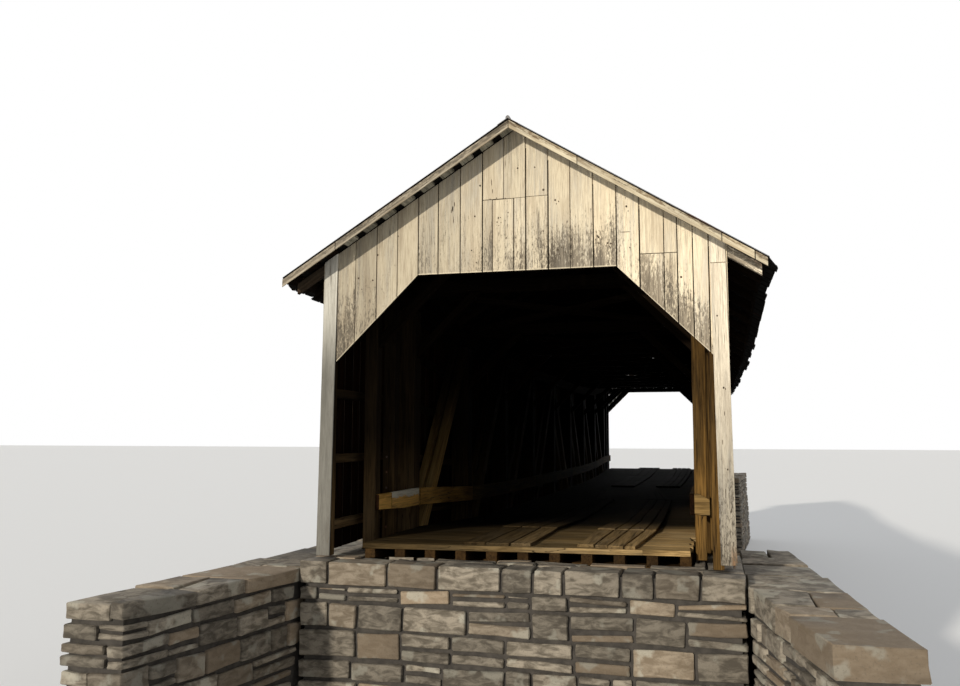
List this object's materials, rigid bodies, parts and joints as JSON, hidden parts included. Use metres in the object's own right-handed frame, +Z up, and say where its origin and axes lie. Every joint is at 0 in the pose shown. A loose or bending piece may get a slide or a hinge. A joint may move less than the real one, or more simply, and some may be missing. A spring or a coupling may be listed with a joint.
{
  "type": "timber covered bridge",
  "caption": "Sagging timber covered bridge on dry stone abutments: kingpost trusses, plank floor with wheel tracks, board siding, metal roof.",
  "frame": {"origin": "middle of the bridge, at the foot of the abutments", "axes": "+Z up, +Y along the bridge from the near portal to the far one, +X across it to the right"},
  "size_m": [8.58, 38.9, 9.1904],
  "materials": {
    "fieldstone": "rough split stone",
    "white_painted_siding": "worn white paint",
    "white_painted_trim": "worn white paint",
    "weathered_siding": "bare weathered boards",
    "roof_metal": "dull weathered",
    "floor_planks": "bare worn planks",
    "rail_timber": "bare sawn timber",
    "frame_timber": "bare old timber"
  },
  "bodies": {
    "root": {"deck_planks": "floor_planks", "far_abutment": "fieldstone", "far_bed_timbers": "frame_timber", "far_gable_siding": "white_painted_siding", "far_left_corner_board": "white_painted_trim", "far_left_rake_board": "white_painted_trim", "far_left_wing_wall": "fieldstone", "far_right_corner_board": "white_painted_trim", "far_right_rake_board": "white_painted_trim", "far_right_wing_wall": "fieldstone", "floor_beams": "frame_timber", "floor_joists": "frame_timber", "lateral_bracing": "frame_timber", "left_bottom_chord": "frame_timber", "left_braces": "rail_timber", "left_guard_rail": "rail_timber", "left_knee_braces": "frame_timber", "left_metal_roof": "roof_metal", "left_posts": "frame_timber", "left_rafters": "frame_timber", "left_roof_battens": "frame_timber", "left_siding": "weathered_siding", "left_siding_girts": "frame_timber", "left_top_chord": "frame_timber", "near_abutment": "fieldstone", "near_bed_timbers": "frame_timber", "near_gable_siding": "white_painted_siding", "near_left_corner_board": "white_painted_trim", "near_left_rake_board": "white_painted_trim", "near_left_wing_wall": "fieldstone", "near_right_corner_board": "white_painted_trim", "near_right_rake_board": "white_painted_trim", "near_right_wing_wall": "fieldstone", "ridge_cap": "roof_metal", "right_bottom_chord": "frame_timber", "right_braces": "rail_timber", "right_guard_rail": "rail_timber", "right_knee_braces": "frame_timber", "right_metal_roof": "roof_metal", "right_posts": "frame_timber", "right_rafters": "frame_timber", "right_roof_battens": "frame_timber", "right_siding": "weathered_siding", "right_siding_girts": "frame_timber", "right_top_chord": "frame_timber", "tie_beams": "frame_timber", "wheel_tracks": "floor_planks"}
  },
  "joints": []
}
